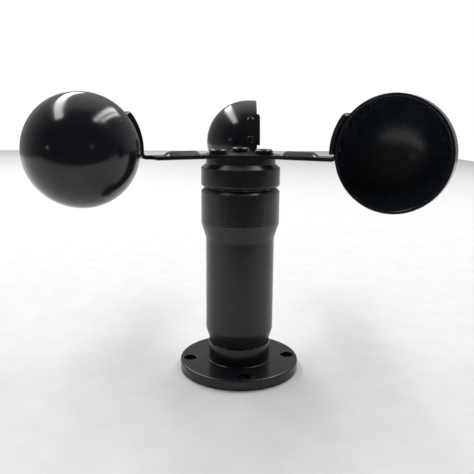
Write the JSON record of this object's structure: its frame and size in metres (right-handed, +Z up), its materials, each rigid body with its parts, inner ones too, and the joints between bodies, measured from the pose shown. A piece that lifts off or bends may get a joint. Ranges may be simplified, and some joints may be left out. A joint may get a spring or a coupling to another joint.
{
  "type": "cup anemometer",
  "caption": "Cup anemometer: hemispherical cups riveted to a stamped spider turn freely on a bearing-mounted hub above a tubular pedestal with a round bolt-down flange.",
  "frame": {"origin": "centre of the bolt circle on the flange's underside, on the spin axis", "axes": "+Z up along the spin axis; +X and +Y each through a bolt hole"},
  "size_m": [0.1925, 0.1777, 0.1472],
  "materials": {
    "black_aluminium": "satin black anodised",
    "black_sheet": "satin black powder coat",
    "cup_plastic": "glossy black moulding",
    "black_fastener": "black oxide",
    "seal_rubber": "matt black",
    "plain_aluminium": "machined",
    "bearing_steel": "ground",
    "ball_steel": "polished",
    "shaft_steel": "turned",
    "spring_steel": "dark phosphated",
    "board_laminate": "green solder mask",
    "chip_plastic": "moulded epoxy",
    "capacitor_sleeve": "shrink sleeve",
    "terminal_plastic": "moulded",
    "brass": "turned",
    "carrier_plastic": "moulded",
    "magnet": "sintered"
  },
  "bodies": {
    "base": {"base_flange": "black_aluminium", "foot_adapter": "black_aluminium", "housing_tube": "black_aluminium", "base_o_ring": "seal_rubber", "foot_o_ring": "seal_rubber", "cable_grommet": "seal_rubber", "bearing_carrier": "plain_aluminium", "outer_spacer": "plain_aluminium", "upper_outer_ring": "bearing_steel", "lower_outer_ring": "bearing_steel", "upper_shields": "bearing_steel", "lower_shields": "bearing_steel", "carrier_screws": "shaft_steel", "board_screws": "shaft_steel", "terminal_screws": "shaft_steel", "bearing_circlip": "spring_steel", "sensor_board": "board_laminate", "signal_board": "board_laminate", "hall_sensor": "chip_plastic", "microcontroller": "chip_plastic", "line_driver": "chip_plastic", "voltage_regulator": "chip_plastic", "header_socket": "chip_plastic", "header_pins": "chip_plastic", "filter_capacitor": "capacitor_sleeve", "terminal_block": "terminal_plastic", "board_standoffs": "brass", "board_spacers": "brass"},
    "rotor": {"rotor_shaft": "shaft_steel", "upper_inner_ring": "bearing_steel", "lower_inner_ring": "bearing_steel", "inner_spacer": "plain_aluminium", "shaft_circlip": "spring_steel", "magnet_carrier": "carrier_plastic", "magnet_set_screw": "shaft_steel", "sensor_magnet": "magnet", "hub_sleeve": "plain_aluminium", "hub_pin": "shaft_steel", "retaining_screw": "shaft_steel", "retaining_washer": "shaft_steel", "rotor_hub": "black_aluminium", "hub_screws": "black_fastener", "spider_plate": "black_sheet", "rear_cup": "cup_plastic", "left_cup": "cup_plastic", "right_cup": "cup_plastic", "cup_rivets": "black_fastener"},
    "upper_ball_set": {"upper_cage": "bearing_steel", "upper_balls": "ball_steel"},
    "lower_ball_set": {"lower_cage": "bearing_steel", "lower_balls": "ball_steel"}
  },
  "joints": [
    {"name": "rotor_spin", "type": "hinge", "parent": "base", "child": "rotor", "pos_m": [0, 0, 0.094], "axis": [0, 0, 1], "continuous": true},
    {"name": "upper_ball_spin", "type": "hinge", "parent": "base", "child": "upper_ball_set", "pos_m": [0, 0, 0.094], "axis": [0, 0, 1], "continuous": true},
    {"name": "lower_ball_spin", "type": "hinge", "parent": "base", "child": "lower_ball_set", "pos_m": [0, 0, 0.078], "axis": [0, 0, 1], "continuous": true}
  ],
  "couplings": [
    {"joint": "upper_ball_spin", "follows": "rotor_spin", "ratio": 0.36},
    {"joint": "lower_ball_spin", "follows": "rotor_spin", "ratio": 0.36}
  ]
}
